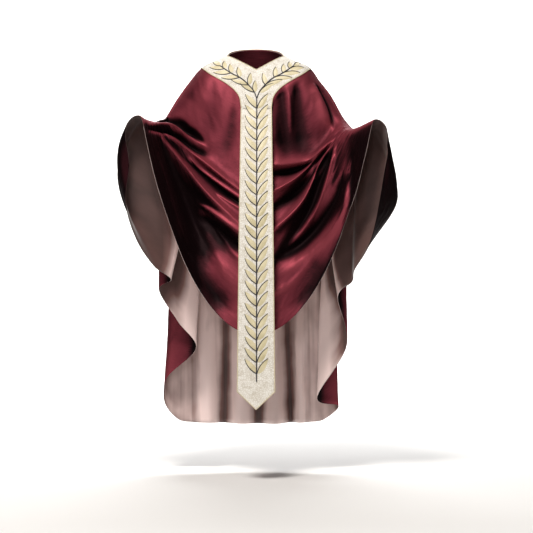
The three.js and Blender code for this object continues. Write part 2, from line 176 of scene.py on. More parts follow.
CREASES = named(
    "x1 z1 x2 z2 x3 z3 x4 z4 height above below",
    [
        (-385, -262, -300, -246, -238, -277, -160, -328, 22, 6, 7),
        (-330, -262, -246, -322, -165, -385, -20, -500, 26, 13, 8),
        (-235, -352, -190, -400, -130, -446, -20, -520, 14, 7, 7),
        (-336, -262, -262, -370, -178, -468, -10, -628, 42, 15, 20),
        (-140, -478, -110, -498, -60, -530, -10, -560, 14, 8, 7),
        (-205, -512, -150, -545, -95, -585, -10, -650, 26, 14, 9),
        (-150, -590, -110, -640, -70, -690, -10, -740, 10, 14, 14),
        (-326, -350, -301, -453, -267, -572, -210, -720, 20, 14, 20),
        (-150, -660, -120, -720, -80, -780, -10, -830, 6, 34, 30),
        (-400, -240, -296, -226, -242, -262, -172, -320, -38, 10, 7),
        (-380, -268, -282, -278, -222, -322, -155, -366, -32, 11, 9),
        (-240, -365, -185, -415, -110, -478, -20, -545, -20, 9, 9),
        (-326, -262, -282, -385, -226, -540, -150, -770, -52, 26, 34),
        (-255, -640, -205, -735, -145, -820, -70, -900, -18, 26, 34),
        (-198, -548, -140, -596, -90, -640, -10, -676, -34, 14, 32),
        (-74, -170, -84, -240, -96, -300, -120, -380, -7, 22, 20),
        (-146, -70, -152, -150, -158, -230, -166, -310, -4, 26, 26),
        (275, -285, 190, -362, 110, -382, 15, -386, 22, 24, 6),
        (272, -290, 215, -350, 130, -432, 10, -500, 30, 10, 9),
        (268, -300, 215, -385, 150, -515, 10, -650, 34, 12, 12),
        (272, -310, 247, -420, 196, -550, 95, -685, 28, 14, 12),
        (312, -430, 292, -545, 230, -640, 60, -785, 30, 24, 32),
        (200, -690, 150, -755, 100, -800, 20, -830, 9, 22, 20),
        (272, -297, 200, -370, 120, -402, 15, -415, -26, 10, 13),
        (268, -310, 210, -400, 130, -485, 10, -560, -24, 12, 14),
        (266, -325, 225, -430, 175, -560, 60, -720, -26, 14, 15),
        (296, -400, 262, -515, 170, -640, 40, -722, -34, 15, 17),
        (322, -320, 325, -430, 300, -560, 235, -730, -14, 14, 20),
        (300, -580, 258, -690, 200, -790, 110, -900, -13, 16, 28),
        (196, -92, 224, -147, 246, -200, 266, -268, 18, 6, 42),
        (204, -92, 233, -147, 255, -200, 273, -262, -10, 6, 6),
        (88, -90, 88, -180, 94, -280, 108, -400, -17, 27, 26),
        (140, -80, 143, -170, 146, -265, 152, -385, -21, 34, 30),
        (112, -120, 114, -170, 117, -220, 120, -310, 5, 13, 12),
    ],
)
YOKE_EDGE = named(
    "out z",
    [
        (52, -185),
        (56, -155),
        (70, -130),
        (93, -108),
        (125, -87),
        (161, -65),
        (191, -40),
    ],
)
# Lengths are in millimetres. A pair of numbers is where an effect begins and where it is whole.
BAND_HALF_TOP = 52.0
BAND_TOP = -185.0
BELOW_YOKE = 30.0
ROUND_LEVEL = 0.45
LEAST_ROUND = 0.01
CHEST_WRAP = (0.2, 0.5)
HOLLOW_LEAN = 0.8


def hermite(a, b, rise_a, rise_b, t):
    """The cubic from a to b whose slope at each end would make it rise by so much over the span."""
    return (
        a * (2 * t**3 - 3 * t**2 + 1)
        + b * (3 * t**2 - 2 * t**3)
        + rise_a * (t**3 - 2 * t**2 + t)
        + rise_b * (t**3 - t**2)
    )


def follow(table, knot, column, at):
    """A smooth curve through one column of a table."""
    knots, values = table[knot], table[column]
    before = np.concatenate([[0], np.arange(len(knots) - 1)])
    after = np.concatenate([np.arange(1, len(knots)), [len(knots) - 1]])
    slopes = (values[after] - values[before]) / (knots[after] - knots[before])
    i = np.clip(np.searchsorted(knots, at, side="right") - 1, 0, len(knots) - 2)
    span = knots[i + 1] - knots[i]
    t = np.clip((at - knots[i]) / span, 0, 1)
    return hermite(values[i], values[i + 1], slopes[i] * span, slopes[i + 1] * span, t)


def smooth(start, end, at):
    t = np.clip((at - start) / (end - start), 0, 1)
    return t * t * (3 - 2 * t)


def unit(vectors):
    return vectors / np.maximum(np.linalg.norm(vectors, axis=-1, keepdims=True), 1e-9)


def ridge_points(u, level):
    """The ridge of shoulder and side: the left one where u is negative, otherwise the right one."""
    left, right = (
        np.stack([follow(RIDGE, "level", side + axis, level) for axis in "xyz"], axis=-1)
        for side in ("left_", "right_")
    )
    return np.where((u < 0)[..., None], left, right)


def ridge_front(u, level):
    """The level direction square to the ridge, towards the front and the middle."""
    step = 0.01
    along = ridge_points(u, np.minimum(level + step, 1)) - ridge_points(u, np.maximum(level - step, 0))
    turn = np.where(u < 0, 1.0, -1.0)
    return unit(np.stack([-along[..., 1] * turn, along[..., 0] * turn, np.zeros_like(u)], axis=-1))


def front_form(u, level):
    """The front without folds: u is -1 on the left ridge, 0 in the middle, 1 on the right ridge."""
    angle = math.pi / 2 * (1 - np.abs(u))
    inward = 1 - np.cos(angle)
    ridge = ridge_points(u, level)
    middle = {name: follow(FRONT, "level", name, level) for name in FRONT if name != "level"}
    straight = np.maximum(0, 1 - level / ROUND_LEVEL)
    bend = np.where(u < 0, middle["left_bend"], middle["right_bend"])
    fall = (1 - straight) * np.sin(math.pi / 2 * inward**bend) + straight * inward
    drop = ridge[..., 2] - middle["z"]
    curve = np.maximum(middle["round"], LEAST_ROUND)
    over = np.sqrt((drop * fall) ** 2 + curve**2) - curve
    whole = np.sqrt(drop**2 + curve**2) - curve
    wrapped = 1 - smooth(*CHEST_WRAP, level)
    depth = wrapped * np.sin(angle) + (1 - wrapped) * np.sin(math.pi / 2 * inward)
    out = curve * (1 - np.exp(-(drop * fall) / curve)) * (1 - inward) ** 2
    hollow = middle["hollow"] * np.sin(math.pi * inward**HOLLOW_LEAN) ** 2
    form = np.stack(
        [
            ridge[..., 0] * (1 - inward),
            ridge[..., 1] + (middle["y"] - ridge[..., 1]) * depth + hollow,
            ridge[..., 2] - drop * over / whole,
        ],
        axis=-1,
    )
    return form + ridge_front(u, level) * out[..., None]


def yoke_height(point):
    """How far a point stands above the yoke's lower edge, or above the place where the band leaves."""
    out = np.minimum(np.abs(point[..., 0]), YOKE_EDGE["out"][-1])
    edge = follow(YOKE_EDGE, "out", "z", np.maximum(out, BAND_HALF_TOP))
    return point[..., 2] - np.where(out < BAND_HALF_TOP, BAND_TOP, edge)


def smooth_line(corners, steps):
    """A smooth curve through corners, with the same number of steps between each two."""
    ends = np.concatenate([[2 * corners[0] - corners[1]], corners, [2 * corners[-1] - corners[-2]]])
    t = np.linspace(0, 1, steps, endpoint=False)[:, None]
    parts = []
    for a, b, c, d in zip(ends, ends[1:], ends[2:], ends[3:]):
        cubic = (3 * b - a - 3 * c + d) * t**3 + (2 * a - 5 * b + 4 * c - d) * t**2 + (c - a) * t
        parts.append(b + cubic / 2)
    return np.concatenate([*parts, corners[-1:]])


CREASE_STEPS = 9
CREASE_REACH = 5
NARROW_AT_CROOK = 0.35
FULL_WIDTH_FROM = 0.6
CREST = 0.45
FLANK = 0.75
CREASE_START = (-0.02, 0.2)
CREASE_END = (0.7, 1)
FADE_AT_BAND = 0.6
LOW_IF_NARROW = 0.6


def crease_lift(points):
    """How far the creases lift each point of the front, from its place as seen from the front."""
    flat = points[..., [0, 2]].reshape(-1, 2)
    total = np.zeros(len(flat))
    for x1, z1, x2, z2, x3, z3, x4, z4, height, above, below in zip(*CREASES.values()):
        line = smooth_line(np.array([[x1, z1], [x2, z2], [x3, z3], [x4, z4]]), CREASE_STEPS)
        margin = CREASE_REACH * max(above, below)
        near = np.all((flat > line.min(0) - margin) & (flat < line.max(0) + margin), axis=1)
        beside = flat[near]
        gap = np.full(len(beside), np.inf)
        upper = np.zeros(len(beside))
        along = np.zeros(len(beside))
        for k, (start, step) in enumerate(zip(line, np.diff(line, axis=0))):
            away = beside - start
            t = np.clip(away @ step / (step @ step), 0, 1)
            away = away - t[:, None] * step
            distance = np.linalg.norm(away, axis=1)
            closer = distance < gap
            over = np.array([-step[1], step[0]]) * (1 if step[0] > 0 else -1)
            gap = np.where(closer, distance, gap)
            upper = np.where(closer, away @ over, upper)
            along = np.where(closer, (k + t) / (len(line) - 1), along)
        grow = NARROW_AT_CROOK + (1 - NARROW_AT_CROOK) * smooth(0, FULL_WIDTH_FROM, along)
        half = np.where(upper > 0, above, below) * grow
        crest = (CREST if height > 0 else 1) * half
        profile = np.exp((crest - np.sqrt(gap**2 + crest**2)) / (FLANK * half))
        fade = 1 if abs(x4) > BAND_HALF_TOP else FADE_AT_BAND
        rise = smooth(*CREASE_START, along) * (1 - fade * smooth(*CREASE_END, along))
        rise *= 1 - LOW_IF_NARROW + LOW_IF_NARROW * grow
        total[near] += height * rise * profile
    return total.reshape(points.shape[:-1]) * smooth(0, BELOW_YOKE, -yoke_height(points))


# The noise behind the wrinkles: how smooth it is, how much finer each octave is, how many there are.
FRACTAL = (0.9, 2.1, 3)
FRONT_SPAN = 1000
SWAG_WRINKLE = 3.4
SWAG_STRETCH = (170.0, 26.0)
SWAG_SEED = 3.0
SWAG_TOP = (0.42, 0.56)
SWAG_SIDE = (0.25, 0.75)
SWAG_HEM = (0.6, 0.95)
CALM_MIDDLE = 0.25
NEAR_RIDGE = (0.75, 0.9)
CALM_NEAR_RIDGE = 0.7
CHEST_WRINKLE = 0.9
CHEST_STRETCH = (60.0, 130.0)
CHEST_DEPTH = 90.0
CHEST_SEED = 8.0
CHEST_END = (0.3, 0.5)
TO_THE_FRONT = (0, -2, 0)
SMOOTH_RIDGE = (0.88, 1)


def wrinkles(points, stretch, size, height, seed):
    """Fine uneven wrinkles, longer along one way of the cloth than across it."""
    lift = [
        noise.fractal(Vector((x / stretch[0], z / stretch[1], y / size + seed)), *FRACTAL)
        for x, y, z in points.reshape(-1, 3)
    ]
    return height * np.array(lift).reshape(points.shape[:-1])


def front_points(u, level):
    """The front with its creases and fine wrinkles, which stand out of it towards the front."""
    form = front_form(u, level)
    side = np.abs(u)
    step = 0.004
    inner = np.minimum(side, 1 - step) * np.where(u < 0, -1.0, 1.0)
    lower, upper = np.minimum(level + step, 1), np.maximum(level - step, 0)
    down = front_form(inner, lower) - front_form(inner, upper)
    across = front_form(inner + step, level) - front_form(inner - step, level)
    strings = np.stack([u, np.zeros_like(u), level], axis=-1) * FRONT_SPAN
    fine = wrinkles(strings, SWAG_STRETCH, 1.0, SWAG_WRINKLE, SWAG_SEED) * smooth(*SWAG_TOP, level)
    calm = smooth(*SWAG_SIDE, side) * (1 - smooth(*SWAG_HEM, level))
    fine *= CALM_MIDDLE + (1 - CALM_MIDDLE) * calm
    fine *= 1 - CALM_NEAR_RIDGE * smooth(*NEAR_RIDGE, side)
    chest = wrinkles(form, CHEST_STRETCH, CHEST_DEPTH, CHEST_WRINKLE, CHEST_SEED)
    fine += chest * (1 - smooth(*CHEST_END, level)) * (1 - u**2)
    fine *= smooth(0, BELOW_YOKE, -yoke_height(form))
    forward = unit(unit(np.cross(down, across)) + TO_THE_FRONT)
    lift = (crease_lift(form) + fine) * (1 - smooth(*SMOOTH_RIDGE, side))
    return form + forward * lift[..., None]


FRONT_COLUMNS = 160
FRONT_ROWS = 290
DENSER_MIDDLE = 0.8
half_columns = 1 - (np.arange(FRONT_COLUMNS // 2 + 1) / (FRONT_COLUMNS // 2)) ** DENSER_MIDDLE
front_u = np.concatenate([-half_columns, half_columns[-2::-1]])
front_level = np.linspace(0, 1, FRONT_ROWS + 1)
U, LEVEL = np.meshgrid(front_u, front_level)
front_grid = front_points(U, LEVEL)


def grid_faces(rows, columns, flip=False, closed=False):
    """The squares of a grid of points, rows first, with their outside towards the front."""
    strips = columns if closed else columns - 1
    i, j = np.meshgrid(np.arange(rows - 1), np.arange(strips), indexing="ij")
    here, below = i * columns, (i + 1) * columns
    k = (j + 1) % columns
    faces = np.stack([here + j, below + j, below + k, here + k], axis=-1)
    return (faces[..., ::-1] if flip else faces).reshape(-1, 4)


def grid_normals(points, flip=False):
    down = np.gradient(points, axis=0)
    across = np.gradient(points, axis=1)
    return unit(np.cross(down, across)) * (-1 if flip else 1)


SOFTEN_FINE = 12
SOFTEN_BROAD = 60
ASIDE_PAINTED_SHADE = 17.0
ASIDE = (0.4, 0.75)
UPWARD = (0.15, 0.5)


def hollowness(grid, outward):
    """How far each point lies in a hollow (more than 0) or on a fold (less), in millimetres."""
    soft = grid.copy()
    total = np.zeros(grid.shape[:2])
    for turn in range(SOFTEN_BROAD):
        for axis in (0, 1):
            wide = np.concatenate([soft.take([0], axis), soft, soft.take([-1], axis)], axis)
            n = wide.shape[axis]
            before, after = wide.take(range(n - 2), axis), wide.take(range(2, n), axis)
            soft = soft / 2 + (before + after) / 4
        if turn + 1 in (SOFTEN_FINE, SOFTEN_BROAD):
            total += np.sum((soft - grid) * outward, axis=-1)
    return total


def aside_painted_shade(outward):
    """Painted shade where the cloth turns aside and not up, on the same scale as hollowness."""
    aside = smooth(*ASIDE, np.abs(outward[..., 0]))
    return ASIDE_PAINTED_SHADE * aside * (1 - smooth(*UPWARD, outward[..., 2]))


def cloth_object(name, points, faces, uv, thickness, material, hollow):
    """A sheet of cloth from its outer points in millimetres, given its thickness on the inside."""
    mesh = bpy.data.meshes.new(name)
    mesh.from_pydata((points.reshape(-1, 3) * MM).tolist(), [], faces.tolist())
    layer = mesh.uv_layers.new(name="cloth")
    loops = np.zeros(len(mesh.loops), np.int32)
    mesh.loops.foreach_get("vertex_index", loops)
    layer.data.foreach_set("uv", (uv.reshape(-1, 2)[loops] * MM).astype(np.float32).ravel())
    # The 'hollow' attribute carries the painted shade that the cloth's material turns into darker
    # colour.
    depth = mesh.attributes.new("hollow", "FLOAT", "POINT")
    depth.data.foreach_set("value", np.asarray(hollow, np.float32).ravel())
    sheet = bpy.data.objects.new(name, mesh)
    bpy.context.collection.objects.link(sheet)
    bpy.ops.object.select_all(action="DESELECT")
    sheet.select_set(True)
    bpy.context.view_layer.objects.active = sheet
    solidify = sheet.modifiers.new("thickness", "SOLIDIFY")
    solidify.thickness = thickness * MM
    solidify.offset = -1
    bpy.ops.object.modifier_apply(modifier="thickness")
    bpy.ops.object.shade_smooth()
    sheet.data.materials.append(material)
    return sheet


def cloth_uv(points):
    """Millimetres along the rows and the columns of a grid, measured on the cloth."""
    across = np.linalg.norm(np.diff(points, axis=1), axis=-1)
    down = np.linalg.norm(np.diff(points, axis=0), axis=-1)
    u = np.concatenate([np.zeros((points.shape[0], 1)), np.cumsum(across, axis=1)], axis=1)
    v = np.concatenate([np.zeros((1, points.shape[1])), np.cumsum(down, axis=0)], axis=0)
    return np.stack([u - u[:, [points.shape[1] // 2]], -v], axis=-1)


def add_node(tree, kind, settings=None, links=None):
    """A node with its settings, and its inputs fed by other nodes' outputs or set to plain values."""
    node = tree.nodes.new(kind)
    for key, value in (settings or {}).items():
        setattr(node, key, value)
    for socket, source in (links or {}).items():
        if isinstance(source, bpy.types.NodeSocket):
            tree.links.new(source, node.inputs[socket])
        else:
            node.inputs[socket].default_value = source
    return node


def pattern(tree, kind, place, settings, inputs):
    """The value of a noise or a wave at a place."""
    return add_node(tree, "ShaderNodeTex" + kind, settings, {"Vector": place, **inputs}).outputs["Fac"]


def multiply_add(tree, value, factor, plus):
    links = {0: value, 1: factor, 2: plus}
    return add_node(tree, "ShaderNodeMath", {"operation": "MULTIPLY_ADD"}, links).outputs["Value"]


def spread_out(tree, value, low, high):
    """A value between low and high as one between 0 and 1."""
    links = {"Value": value, "From Min": low, "From Max": high}
    return add_node(tree, "ShaderNodeMapRange", {}, links).outputs["Result"]


def ramp_colour(tree, shader, value, stops):
    """The shader's colour: a value turned to colour by stops of a place and a hex colour."""
    ramp = add_node(tree, "ShaderNodeValToRGB", {}, {"Fac": value})
    elements = ramp.color_ramp.elements
    while len(elements) < len(stops):
        elements.new(0.5)
    for element, (position, colour) in zip(elements, stops):
        element.position = position
        element.color = srgb(colour)
    tree.links.new(ramp.outputs["Color"], shader.inputs["Base Color"])


def bumped(tree, height, strength, distance, under=None):
    """The normal that a height gives, over that of another bump if there is one."""
    links = {"Height": height, "Strength": strength, "Distance": distance}
    if under is not None:
        links["Normal"] = under
    return add_node(tree, "ShaderNodeBump", {}, links).outputs["Normal"]


def cloth_inputs(tree):
    """The place on the cloth, and the painted shade of its hollows and turns."""
    uv = add_node(tree, "ShaderNodeUVMap", {"uv_map": "cloth"}).outputs["UV"]
    return uv, add_node(tree, "ShaderNodeAttribute", {"attribute_name": "hollow"}).outputs["Fac"]


# Shot silk taffeta: wine threads one way and black the other, crisp, with a dull metallic shine. Its
# colour carries painted shade: wine on its folds, near-black in its hollows and where it turns to the
# side. The ribs of its weave, 0.3 mm apart, are drawn at three times that.
def taffeta_material():
    material, tree, shader = new_material(
        "wine shot silk taffeta",
        {
            "Roughness": 0.5,
            "Metallic": 0.5,
            "Specular IOR Level": 0.05,
            "Sheen Weight": 0.02,
            "Sheen Roughness": 0.4,
            "Sheen Tint": srgb("B0606C"),
        },
    )
    uv, hollow = cloth_inputs(tree)
    streaks = add_node(tree, "ShaderNodeMapping", {}, {"Vector": uv, "Scale": (25.0, 700.0, 1.0)})
    slub = pattern(tree, "Noise", streaks.outputs["Vector"], {}, {"Scale": 1.0, "Detail": 4.0})
    clouds = pattern(tree, "Noise", uv, {}, {"Scale": 11.0, "Detail": 5.0})
    tone = multiply_add(tree, clouds, 0.45, slub)
    # Painted shade: the silk runs from wine on its folds to near-black in its hollows.
    shade = spread_out(tree, hollow, -14.0, 18.0)
    ramp_colour(
        tree,
        shader,
        multiply_add(tree, tone, -0.3, shade),
        [(0.0, "8C3D47"), (0.24, "702E38"), (0.44, "38181D"), (0.66, "150A0C")],
    )
    weave = pattern(
        tree, "Wave", uv, {"bands_direction": "Y"}, {"Scale": 320.0, "Distortion": 1.2, "Detail": 2.0}
    )
    crinkle = pattern(
        tree,
        "Noise",
        uv,
        {"noise_type": "RIDGED_MULTIFRACTAL"},
        {"Scale": 18.0, "Detail": 3.0, "Roughness": 0.45, "Distortion": 0.2},
    )
    rumpled = bumped(tree, crinkle, 0.5, 0.006)
    woven = bumped(tree, multiply_add(tree, slub, 0.8, weave), 0.15, 0.0006, rumpled)
    tree.links.new(woven, shader.inputs["Normal"])
    return material


PANEL_WALL = 1.4
CREASE_PAINTED_SHADE = 0.35
LIT_CROOK = 0.6
CROOK_INSIDE = (220, 290)
CROOK_OUTSIDE = (300, 335)
CROOK_BELOW = (-480, -380)

# Painted shade for the silk: its colour darkens in its hollows and where it turns to the side. A
# crease's painted shade counts for more than its own depth. In the crook of the right side, which is
# in the light, less shade is painted for the turn.
taffeta = taffeta_material()
front_outward = grid_normals(front_grid)
front_painted_shade = hollowness(front_grid, front_outward)
front_painted_shade -= CREASE_PAINTED_SHADE * crease_lift(front_form(U, LEVEL))
front_x, front_z = front_grid[..., 0], front_grid[..., 2]
right_crook = smooth(*CROOK_INSIDE, front_x) * (1 - smooth(*CROOK_OUTSIDE, front_x))
right_crook *= smooth(*CROOK_BELOW, front_z)
front_panel = cloth_object(
    "front_of_taffeta",
    front_grid,
    grid_faces(*front_grid.shape[:2]),
    cloth_uv(front_grid),
    PANEL_WALL,
    taffeta,
    front_painted_shade + aside_painted_shade(front_outward) * (1 - LIT_CROOK * right_crook),
)
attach(front_panel, "root")
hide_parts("front_panel")


# The back: one panel of the same taffeta. It falls from the shoulders in low round flutes, and from
# each raised side it drops in a zigzag cascade, whose hem shows the outside and the lining in turn.
NAPE = named(
    "level y z rise",
    [
        (0.0, 80, 38, 0.8),
        (0.09, 104, -6, 0.7),
        (0.19, 130, -50, 1.2),
    ],
)
BACK_FALLS = named(
    "station mid_x mid_y mid_z hem_x hem_y hem_z",
    [
        (-1.0, -428, -292, -289, -423, -284, -395),
        (-0.94, -454, -264, -350, -437, -262, -521),
        (-0.88, -459, -228, -410, -404, -226, -640),
        (-0.82, -443, -185, -474, -348, -174, -730),
        (-0.76, -262, -135, -585, -294, -118, -776),
        (-0.71, -338, -100, -608, -337, -84, -811),
        (-0.65, -296, -48, -641, -274, -38, -922),
        (-0.59, -206, 0, -676, -214, 2, -1018),
        (-0.53, -290, 36, -693, -319, 46, -1126),
        (-0.47, -298, 74, -717, -326, 86, -1214),
        (-0.4, -272, 102, -717, -282, 124, -1275),
        (-0.32, -230, 120, -717, -231, 142, -1288),
        (-0.23, -178, 136, -700, -168, 128, -1290),
        (-0.13, -112, 168, -690, -116, 192, -1294),
        (-0.06, -62, 160, -690, -56, 156, -1296),
        (0.03, 4, 178, -690, 8, 204, -1298),
        (0.11, 66, 160, -690, 72, 152, -1296),
        (0.18, 112, 168, -700, 124, 196, -1293),
        (0.26, 160, 142, -710, 158, 132, -1290),
        (0.33, 190, 122, -717, 190, 148, -1288),
        (0.41, 236, 106, -717, 240, 132, -1278),
        (0.48, 276, 72, -717, 290, 92, -1226),
        (0.55, 232, 32, -717, 214, 42, -1190),
        (0.61, 313, -8, -711, 317, -14, -1006),
        (0.67, 262, -48, -641, 284, -56, -836),
        (0.72, 326, -88, -625, 330, -98, -784),
        (0.77, 352, -128, -557, 336, -146, -744),
        (0.83, 464, -178, -518, 374, -198, -678),
        (0.89, 474, -214, -478, 396, -238, -610),
        (0.945, 455, -254, -393, 414, -266, -512),
        (1.0, 432, -284, -288, 440, -278, -352),
    ],
)
NECK_STATION = 0.32
SIDE_ROUND = 26.0
YOKE_AT_RIDGE = 0.175
BACK_COLUMNS = 320
BACK_ROWS = 112
NAPE_ROWS = 16
DENSER_TOP = 1.15
SIDEWAYS = (0.1, 0.6)
BACKWARDS = 0.5
BACK_WIDE = 1500
BACK_LONG = 1300
FLUTE_WRINKLE = 4.0
FLUTE_STRETCH = (80.0, 600.0)
FLUTE_PLACE = (0, 0, 700)
FLUTE_SEED = 5.0
RUMPLE_WRINKLE = FLUTE_WRINKLE / 3
RUMPLE_STRETCH = (160.0, 90.0)
RUMPLE_SEED = 9.0
WRINKLED_FROM = (0, 0.15)
CALM_CASCADE = (0.5, 0.75)


def nape_points(across, level):
    """The back inside the yoke: across is 0 on the left ridge and 1 on the right one."""
    angle = math.pi * across
    side = np.where(across < 0.5, -1.0, 1.0)
    ridge = ridge_points(side, level)
    turn = np.sin(angle)
    middle = {name: follow(NAPE, "level", name, level) for name in ("y", "z", "rise")}
    return np.stack(
        [
            ridge[..., 0] * np.abs(np.cos(angle)),
            ridge[..., 1] + (middle["y"] - ridge[..., 1]) * turn,
            ridge[..., 2] + (middle["z"] - ridge[..., 2]) * turn ** middle["rise"],
        ],
        axis=-1,
    )


def fall_points(top, station, down):
    """Points of the back below its top: out in a round, then through the middle one to the hem."""
    columns = [name for name in BACK_FALLS if name != "station"]
    at = {name: follow(BACK_FALLS, "station", name, station) for name in columns}
    drop = top[..., 2] - at["hem_z"]
    fallen = drop * down
    middle_fall = top[..., 2] - at["mid_z"]
    plan = []
    for axis, k in (("x", 0), ("y", 1)):
        start, mid, hem = top[..., k], at["mid_" + axis], at["hem_" + axis]
        first = (mid - start) / middle_fall
        whole = (hem - start) / drop
        last = (hem - mid) / (drop - middle_fall)
        upper = fallen < middle_fall
        span = np.where(upper, middle_fall, drop - middle_fall)
        t = np.clip(np.where(upper, fallen, fallen - middle_fall) / span, 0, 1)
        a, b = np.where(upper, start, mid), np.where(upper, mid, hem)
        slope_a, slope_b = np.where(upper, first, whole), np.where(upper, whole, last)
        plan.append(hermite(a, b, slope_a * span, slope_b * span, t))
    over = SIDE_ROUND * (1 - np.exp(-fallen / SIDE_ROUND)) * (1 - down) ** 2
    side = np.sign(station) * smooth(*SIDEWAYS, np.abs(station))
    outward = unit(np.stack([side, np.full_like(side, BACKWARDS), np.zeros_like(side)], axis=-1))
    rounded = np.sqrt(fallen**2 + SIDE_ROUND**2) - SIDE_ROUND
    whole_round = np.sqrt(drop**2 + SIDE_ROUND**2) - SIDE_ROUND
    points = np.stack([*plan, top[..., 2] - drop * rounded / whole_round], axis=-1)
    points[..., :2] += outward[..., :2] * over[..., None]
    return points


station = np.linspace(-1, 1, BACK_COLUMNS + 1)
ridge_share = np.clip((np.abs(station) - NECK_STATION) / (1 - NECK_STATION), 0, 1)
top_level = YOKE_AT_RIDGE + (1 - YOKE_AT_RIDGE) * ridge_share
nape_across = np.clip((station / NECK_STATION + 1) / 2, 0, 1)
tops = np.where(
    (np.abs(station) > NECK_STATION)[:, None],
    ridge_points(np.where(station < 0, -1.0, 1.0), top_level),
    nape_points(nape_across, np.full_like(station, YOKE_AT_RIDGE)),
)
down = np.linspace(0, 1, BACK_ROWS + 1) ** DENSER_TOP
back_grid = fall_points(
    np.broadcast_to(tops, (BACK_ROWS + 1,) + tops.shape),
    np.broadcast_to(station, (BACK_ROWS + 1, BACK_COLUMNS + 1)),
    np.broadcast_to(down[:, None], (BACK_ROWS + 1, BACK_COLUMNS + 1)),
)
STATION, DOWN = np.meshgrid(station, down)
back_strings = np.stack([STATION * BACK_WIDE, np.zeros_like(DOWN), DOWN * BACK_LONG], axis=-1)
back_lift = wrinkles(back_strings + FLUTE_PLACE, FLUTE_STRETCH, 1.0, FLUTE_WRINKLE, FLUTE_SEED)
back_lift += wrinkles(back_strings, RUMPLE_STRETCH, 1.0, RUMPLE_WRINKLE, RUMPLE_SEED)
back_lift *= smooth(*WRINKLED_FROM, DOWN) * (1 - smooth(*CALM_CASCADE, np.abs(STATION)))
back_grid = back_grid + grid_normals(back_grid, flip=True) * back_lift[..., None]
on_nape = np.abs(station) <= NECK_STATION + 1e-9
nape_levels = YOKE_AT_RIDGE * np.arange(NAPE_ROWS) / NAPE_ROWS
nape_grid = nape_points(
    np.broadcast_to(nape_across[on_nape], (NAPE_ROWS, on_nape.sum())),
    np.broadcast_to(nape_levels[:, None], (NAPE_ROWS, on_nape.sum())),
)


def join_nape(nape, falls):
    """One set of points and faces for the back: the part inside the yoke on top of its falls."""
    first = int(np.nonzero(on_nape)[0][0])
    count = nape.shape[1]
    faces = [grid_faces(*falls.shape[:2], flip=True)]
    lower = falls.shape[0] * falls.shape[1]
    upper = grid_faces(nape.shape[0] + 1, count, flip=True)
    index = np.concatenate([lower + np.arange(nape.shape[0] * count), first + np.arange(count)])
    faces.append(index[upper])
    return np.concatenate([falls.reshape(-1, 3), nape.reshape(-1, 3)]), np.concatenate(faces)


back_points, back_faces = join_nape(nape_grid, back_grid)
back_uv = np.concatenate([cloth_uv(back_grid).reshape(-1, 2), cloth_uv(nape_grid).reshape(-1, 2)])
back_outward = grid_normals(back_grid, flip=True)
level_nape = np.zeros(nape_grid[..., 0].size)

# The back's painted shade in its hollows and turns is weaker than the front's, and more shade is
# painted towards its raised sides, where they come forward.
BACK_SHADE_SHARE = 0.65
WING_PAINTED_SHADE = 9.0
WING = (-20, -160)
back_hollow_shade = np.concatenate([hollowness(back_grid, back_outward).ravel(), level_nape])
back_aside_shade = np.concatenate([aside_painted_shade(back_outward).ravel(), level_nape])
back_panel = cloth_object(
    "back_of_taffeta",
    back_points,
    back_faces,
    back_uv,
    PANEL_WALL,
    taffeta,
    BACK_SHADE_SHARE * (back_hollow_shade + back_aside_shade) + WING_PAINTED_SHADE * smooth(*WING, back_points[:, 1]),
)
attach(back_panel, "root")
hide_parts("back_panel")


# The linings: dusty pink satin, cut as the panels are and sewn to them round the edge. The one of the
# back shows wherever the cascade turns, and through the open sides and hem.
#
# Woven satin has an even lustre without ribs. Its colour carries painted shade: pale on its folds
# and brown in its hollows.
def lining_material():
    material, tree, shader = new_material(
        "dusty pink satin lining", {"Roughness": 0.42, "Sheen Weight": 0.3, "Sheen Roughness": 0.4}
    )
    uv, hollow = cloth_inputs(tree)
    clouds = pattern(tree, "Noise", uv, {}, {"Scale": 7.0, "Detail": 4.0})
    shade = spread_out(tree, hollow, -8.0, 14.0)
    ramp_colour(
        tree,
        shader,
        multiply_add(tree, clouds, -0.3, shade),
        [(0.1, "ECD4CF"), (0.6, "7A5A55"), (1.0, "2A1D1A")],
    )
    weave = pattern(
        tree, "Wave", uv, {"bands_direction": "X"}, {"Scale": 380.0, "Distortion": 1.0, "Detail": 1.0}
    )
    tree.links.new(bumped(tree, weave, 0.08, 0.0005), shader.inputs["Normal"])
    return material


satin = lining_material()
LINING_WALL = 0.9
SEWN_GAP = 0.3
LINING_AT = PANEL_WALL + SEWN_GAP


def point_normals(points, faces):
    """The outward direction at each point of a mesh of four-sided faces."""
    normals = np.zeros_like(points)
    a, b, c, d = (points[faces[:, k]] for k in range(4))
    face = np.cross(c - a, d - b)
    for k in range(4):
        np.add.at(normals, faces[:, k], face)
    return unit(normals)


def lining(name, node, points, faces, uv, hollow):
    """The lining of a panel, inside it, from the panel's outer points."""
    inner = points - point_normals(points, faces) * LINING_AT
    piece = cloth_object(name, inner, faces, uv, LINING_WALL, satin, hollow)
    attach(piece, "root")
    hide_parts(node)


# Painted shade on the lining of the back: below each raised side it is painted darker, more so on
# the right.
LEFT_UNDERARM_SHADE = 17.0
RIGHT_UNDERARM_SHADE = 27.0
UNDERARM_SHADE_HEIGHT = (-900, -700)
UNDERARM_SHADE_OUT = (190, 290)
back_x, back_z = back_points[:, 0], back_points[:, 2]
underarm_painted_shade = smooth(*UNDERARM_SHADE_HEIGHT, back_z) * smooth(*UNDERARM_SHADE_OUT, np.abs(back_x))
underarm_painted_shade *= np.where(back_x < 0, LEFT_UNDERARM_SHADE, RIGHT_UNDERARM_SHADE)

# Each lining gets painted shade from the hollows of its panel as seen from inside.
lining(
    "front_of_satin",
    "front_lining",
    front_grid.reshape(-1, 3),
    grid_faces(*front_grid.shape[:2]),
    cloth_uv(front_grid),
    -front_painted_shade,
)
lining(
    "back_of_satin",
    "back_lining",
    back_points,
    back_faces,
    back_uv,
    underarm_painted_shade - back_hollow_shade,
)


